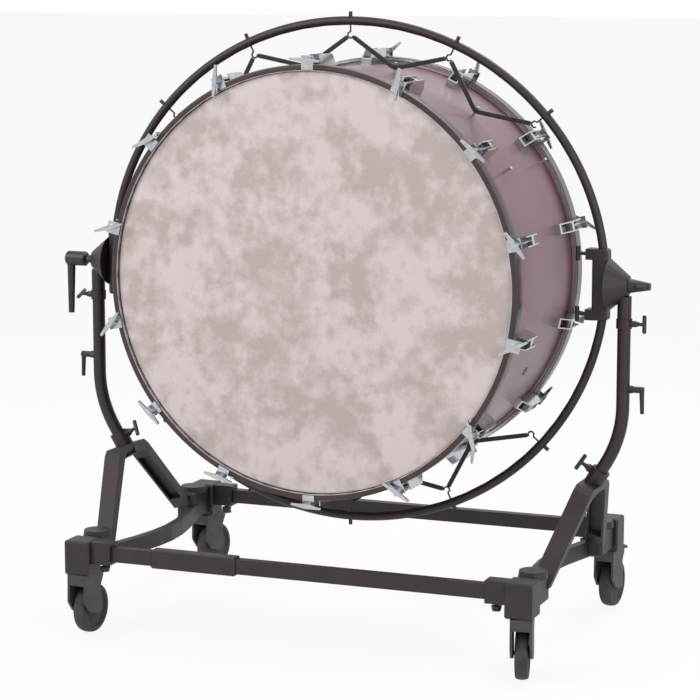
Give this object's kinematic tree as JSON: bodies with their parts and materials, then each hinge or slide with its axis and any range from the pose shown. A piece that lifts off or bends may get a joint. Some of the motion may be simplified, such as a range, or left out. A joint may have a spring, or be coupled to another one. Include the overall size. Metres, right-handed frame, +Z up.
{
  "type": "concert bass drum",
  "caption": "Concert bass drum hung on elastic straps in an oval ring that tilts on a height-adjustable wheeled stand.",
  "frame": {"origin": "middle of the stand's footprint on the floor", "axes": "+Z up, +X along the tilt axis to the tapered handle's side, -Y towards the front head"},
  "size_m": [1.5636, 0.8666, 1.5411],
  "materials": {
    "shell": "satin lacquer",
    "skin": "calf-look film",
    "hoop": "gloss lacquer",
    "chrome": "polished",
    "frame": "semi-gloss",
    "plastic": "moulded",
    "strap": "woven cover",
    "wheel": "moulded"
  },
  "bodies": {
    "stand": {"end_frame_left": "frame", "end_frame_right": "frame", "front_rail": "frame", "lower_post_left": "frame", "lower_post_right": "frame", "rear_rail": "frame"},
    "left_upper_post": {"upper_post_left": "frame"},
    "right_upper_post": {"upper_post_right": "frame"},
    "drum_and_ring": {"elastic_strap_01": "strap", "elastic_strap_02": "strap", "elastic_strap_03": "strap", "elastic_strap_04": "strap", "elastic_strap_05": "strap", "elastic_strap_06": "strap", "elastic_strap_07": "strap", "elastic_strap_08": "strap", "front_counterhoop": "hoop", "front_head": "skin", "rear_counterhoop": "hoop", "rear_head": "skin", "ring_clamp_left": "frame", "ring_clamp_right": "frame", "shell": "shell", "suspension_ring": "frame"},
    "caster_front_left": {"caster_fork_front_left": "plastic"},
    "wheel_front_left": {"caster_wheel_front_left": "wheel"},
    "pedal_front_left": {"brake_pedal_front_left": "plastic"},
    "caster_front_right": {"caster_fork_front_right": "plastic"},
    "wheel_front_right": {"caster_wheel_front_right": "wheel"},
    "pedal_front_right": {"brake_pedal_front_right": "plastic"},
    "caster_rear_left": {"caster_fork_rear_left": "plastic"},
    "wheel_rear_left": {"caster_wheel_rear_left": "wheel"},
    "pedal_rear_left": {"brake_pedal_rear_left": "plastic"},
    "caster_rear_right": {"caster_fork_rear_right": "plastic"},
    "wheel_rear_right": {"caster_wheel_rear_right": "wheel"},
    "pedal_rear_right": {"brake_pedal_rear_right": "plastic"},
    "pivot_lever_left": {"pivot_lever_left": "plastic"},
    "height_screw_left": {"height_screw_left": "plastic"},
    "post_lever_left": {"post_lever_left": "plastic"},
    "socket_screw_left": {"socket_screw_left": "plastic"},
    "pivot_handle_right": {"pivot_handle_right": "plastic"},
    "height_screw_right": {"height_screw_right": "plastic"},
    "post_lever_right": {"post_lever_right": "plastic"},
    "socket_screw_right": {"socket_screw_right": "plastic"},
    "front_tension_rod_01": {"front_tension_rod_01": "chrome"},
    "front_tension_rod_02": {"front_tension_rod_02": "chrome"},
    "front_tension_rod_03": {"front_tension_rod_03": "chrome"},
    "front_tension_rod_04": {"front_tension_rod_04": "chrome"},
    "front_tension_rod_05": {"front_tension_rod_05": "chrome"},
    "front_tension_rod_06": {"front_tension_rod_06": "chrome"},
    "front_tension_rod_07": {"front_tension_rod_07": "chrome"},
    "front_tension_rod_08": {"front_tension_rod_08": "chrome"},
    "front_tension_rod_09": {"front_tension_rod_09": "chrome"},
    "front_tension_rod_10": {"front_tension_rod_10": "chrome"},
    "front_tension_rod_11": {"front_tension_rod_11": "chrome"},
    "front_tension_rod_12": {"front_tension_rod_12": "chrome"},
    "front_tension_rod_13": {"front_tension_rod_13": "chrome"},
    "front_tension_rod_14": {"front_tension_rod_14": "chrome"}
  },
  "joints": [
    {"name": "post_height", "type": "slide", "parent": "stand", "child": "left_upper_post", "axis": [0, 0, 1], "range_m": [0, 0.12]},
    {"name": "post_height_right", "type": "slide", "parent": "stand", "child": "right_upper_post", "axis": [0, 0, 1], "range_m": [0, 0.12]},
    {"name": "drum_tilt", "type": "hinge", "parent": "left_upper_post", "child": "drum_and_ring", "pos_m": [0.0135, -0.032, 0.897], "axis": [1, 0, 0], "continuous": true},
    {"name": "swivel_front_left", "type": "hinge", "parent": "stand", "child": "caster_front_left", "pos_m": [-0.5593, -0.3958, 0.159], "axis": [0, 0, 1], "continuous": true},
    {"name": "roll_front_left", "type": "hinge", "parent": "caster_front_left", "child": "wheel_front_left", "pos_m": [-0.55686, -0.36088, 0.0625], "axis": [0.9976, -0.0698, 0], "continuous": true},
    {"name": "brake_front_left", "type": "hinge", "parent": "caster_front_left", "child": "pedal_front_left", "pos_m": [-0.55588, -0.34691, 0.147], "axis": [0.9976, -0.0698, 0], "range_deg": [-8, 14]},
    {"name": "swivel_front_right", "type": "hinge", "parent": "stand", "child": "caster_front_right", "pos_m": [0.5863, -0.3958, 0.159], "axis": [0, 0, 1], "continuous": true},
    {"name": "roll_front_right", "type": "hinge", "parent": "caster_front_right", "child": "wheel_front_right", "pos_m": [0.57783, -0.36184, 0.0625], "axis": [0.9703, 0.2419, 0], "continuous": true},
    {"name": "brake_front_right", "type": "hinge", "parent": "caster_front_right", "child": "pedal_front_right", "pos_m": [0.57445, -0.34825, 0.147], "axis": [0.9703, 0.2419, 0], "range_deg": [-8, 14]},
    {"name": "swivel_rear_left", "type": "hinge", "parent": "stand", "child": "caster_rear_left", "pos_m": [-0.5593, 0.3318, 0.159], "axis": [0, 0, 1], "continuous": true},
    {"name": "roll_rear_left", "type": "hinge", "parent": "caster_rear_left", "child": "wheel_rear_left", "pos_m": [-0.55322, 0.36627, 0.0625], "axis": [0.9848, -0.1736, 0], "continuous": true},
    {"name": "brake_rear_left", "type": "hinge", "parent": "caster_rear_left", "child": "pedal_rear_left", "pos_m": [-0.55079, 0.38006, 0.147], "axis": [0.9848, -0.1736, 0], "range_deg": [-8, 14]},
    {"name": "swivel_rear_right", "type": "hinge", "parent": "stand", "child": "caster_rear_right", "pos_m": [0.5863, 0.3318, 0.159], "axis": [0, 0, 1], "continuous": true},
    {"name": "roll_rear_right", "type": "hinge", "parent": "caster_rear_right", "child": "wheel_rear_right", "pos_m": [0.58874, 0.36672, 0.0625], "axis": [0.9976, -0.0698, 0], "continuous": true},
    {"name": "brake_rear_right", "type": "hinge", "parent": "caster_rear_right", "child": "pedal_rear_right", "pos_m": [0.58972, 0.38068, 0.147], "axis": [0.9976, -0.0698, 0], "range_deg": [-8, 14]},
    {"name": "pivot_lever_left_turn", "type": "hinge", "parent": "left_upper_post", "child": "pivot_lever_left", "pos_m": [-0.7025, -0.032, 0.897], "axis": [-1, 0, 0], "continuous": true},
    {"name": "height_screw_left_turn", "type": "hinge", "parent": "stand", "child": "height_screw_left", "pos_m": [-0.7115, -0.032, 0.8052], "axis": [-1, 0, 0], "continuous": true},
    {"name": "post_lever_left_turn", "type": "hinge", "parent": "stand", "child": "post_lever_left", "pos_m": [-0.7078, -0.032, 0.646], "axis": [-1, 0, 0], "continuous": true},
    {"name": "socket_screw_left_turn", "type": "hinge", "parent": "stand", "child": "socket_screw_left", "pos_m": [-0.60767, -0.032, 0.44777], "axis": [0.8572, 0, 0.515], "continuous": true},
    {"name": "pivot_handle_right_turn", "type": "hinge", "parent": "right_upper_post", "child": "pivot_handle_right", "pos_m": [0.7295, -0.032, 0.897], "axis": [1, 0, 0], "continuous": true},
    {"name": "height_screw_right_turn", "type": "hinge", "parent": "stand", "child": "height_screw_right", "pos_m": [0.7385, -0.032, 0.8052], "axis": [1, 0, 0], "continuous": true},
    {"name": "post_lever_right_turn", "type": "hinge", "parent": "stand", "child": "post_lever_right", "pos_m": [0.7348, -0.032, 0.646], "axis": [1, 0, 0], "continuous": true},
    {"name": "socket_screw_right_turn", "type": "hinge", "parent": "stand", "child": "socket_screw_right", "pos_m": [0.63467, -0.032, 0.44777], "axis": [-0.8572, 0, 0.515], "continuous": true},
    {"name": "front_tension_rod_01_turn", "type": "hinge", "parent": "drum_and_ring", "child": "front_tension_rod_01", "pos_m": [0.0135, -0.043, 1.4337], "axis": [0, 1, 0], "continuous": true},
    {"name": "front_tension_rod_02_turn", "type": "hinge", "parent": "drum_and_ring", "child": "front_tension_rod_02", "pos_m": [0.24637, -0.043, 1.38055], "axis": [0, 1, 0], "continuous": true},
    {"name": "front_tension_rod_03_turn", "type": "hinge", "parent": "drum_and_ring", "child": "front_tension_rod_03", "pos_m": [0.43311, -0.043, 1.23163], "axis": [0, 1, 0], "continuous": true},
    {"name": "front_tension_rod_04_turn", "type": "hinge", "parent": "drum_and_ring", "child": "front_tension_rod_04", "pos_m": [0.53674, -0.043, 1.01643], "axis": [0, 1, 0], "continuous": true},
    {"name": "front_tension_rod_05_turn", "type": "hinge", "parent": "drum_and_ring", "child": "front_tension_rod_05", "pos_m": [0.53674, -0.043, 0.77757], "axis": [0, 1, 0], "continuous": true},
    {"name": "front_tension_rod_06_turn", "type": "hinge", "parent": "drum_and_ring", "child": "front_tension_rod_06", "pos_m": [0.43311, -0.043, 0.56237], "axis": [0, 1, 0], "continuous": true},
    {"name": "front_tension_rod_07_turn", "type": "hinge", "parent": "drum_and_ring", "child": "front_tension_rod_07", "pos_m": [0.24637, -0.043, 0.41345], "axis": [0, 1, 0], "continuous": true},
    {"name": "front_tension_rod_08_turn", "type": "hinge", "parent": "drum_and_ring", "child": "front_tension_rod_08", "pos_m": [0.0135, -0.043, 0.3603], "axis": [0, 1, 0], "continuous": true},
    {"name": "front_tension_rod_09_turn", "type": "hinge", "parent": "drum_and_ring", "child": "front_tension_rod_09", "pos_m": [-0.21937, -0.043, 0.41345], "axis": [0, 1, 0], "continuous": true},
    {"name": "front_tension_rod_10_turn", "type": "hinge", "parent": "drum_and_ring", "child": "front_tension_rod_10", "pos_m": [-0.40611, -0.043, 0.56237], "axis": [0, 1, 0], "continuous": true},
    {"name": "front_tension_rod_11_turn", "type": "hinge", "parent": "drum_and_ring", "child": "front_tension_rod_11", "pos_m": [-0.50974, -0.043, 0.77757], "axis": [0, 1, 0], "continuous": true},
    {"name": "front_tension_rod_12_turn", "type": "hinge", "parent": "drum_and_ring", "child": "front_tension_rod_12", "pos_m": [-0.50974, -0.043, 1.01643], "axis": [0, 1, 0], "continuous": true},
    {"name": "front_tension_rod_13_turn", "type": "hinge", "parent": "drum_and_ring", "child": "front_tension_rod_13", "pos_m": [-0.40611, -0.043, 1.23163], "axis": [0, 1, 0], "continuous": true},
    {"name": "front_tension_rod_14_turn", "type": "hinge", "parent": "drum_and_ring", "child": "front_tension_rod_14", "pos_m": [-0.21937, -0.043, 1.38055], "axis": [0, 1, 0], "continuous": true}
  ],
  "couplings": [
    {"joint": "post_height_right", "follows": "post_height", "ratio": 1}
  ]
}
